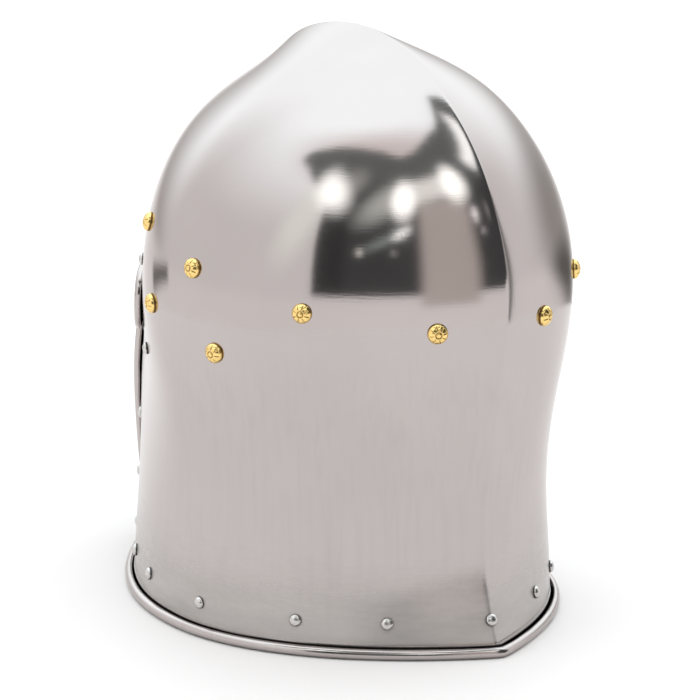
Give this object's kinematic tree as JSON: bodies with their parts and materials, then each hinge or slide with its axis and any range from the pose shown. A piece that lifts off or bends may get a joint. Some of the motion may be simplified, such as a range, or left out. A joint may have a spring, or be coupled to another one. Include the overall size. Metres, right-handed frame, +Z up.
{
  "type": "barbute helmet",
  "caption": "One-piece plate helmet with a keel, a T-shaped face opening, a rolled edge all round, domed steel rivets and petalled brass rivets.",
  "frame": {"origin": "centre of the box's bottom, on the surface that the rim stands on", "axes": "+Z up, the helmet faces -Y, its keel runs down the back at +Y, the wearer's left is +X"},
  "size_m": [0.2146, 0.2986, 0.29],
  "materials": {
    "polished_steel": "polished satin",
    "rivet_steel": "polished",
    "brass": "polished"
  },
  "bodies": {
    "root": {"face_rivet_1_l": "rivet_steel", "face_rivet_1_r": "rivet_steel", "face_rivet_2_l": "rivet_steel", "face_rivet_2_r": "rivet_steel", "face_rivet_3_l": "rivet_steel", "face_rivet_3_r": "rivet_steel", "face_rivet_4_l": "rivet_steel", "face_rivet_4_r": "rivet_steel", "face_rivet_5_l": "rivet_steel", "face_rivet_5_r": "rivet_steel", "face_rivet_6_l": "rivet_steel", "face_rivet_6_r": "rivet_steel", "rim_rivet_1_keel": "rivet_steel", "rim_rivet_2_l": "rivet_steel", "rim_rivet_2_r": "rivet_steel", "rim_rivet_3_l": "rivet_steel", "rim_rivet_3_r": "rivet_steel", "rim_rivet_4_l": "rivet_steel", "rim_rivet_4_r": "rivet_steel", "rim_rivet_5_l": "rivet_steel", "rim_rivet_5_r": "rivet_steel", "rim_rivet_6_l": "rivet_steel", "rim_rivet_6_r": "rivet_steel", "rim_rivet_7_l": "rivet_steel", "rim_rivet_7_r": "rivet_steel", "rim_rivet_8_l": "rivet_steel", "rim_rivet_8_r": "rivet_steel", "rosette_1_l": "brass", "rosette_1_r": "brass", "rosette_2_l": "brass", "rosette_2_r": "brass", "rosette_3_l": "brass", "rosette_3_r": "brass", "rosette_4_l": "brass", "rosette_4_r": "brass", "rosette_5_l": "brass", "rosette_5_r": "brass", "rosette_6_l": "brass", "rosette_6_r": "brass", "rosette_7_l": "brass", "rosette_7_r": "brass", "skull_bowl": "polished_steel"}
  },
  "joints": []
}
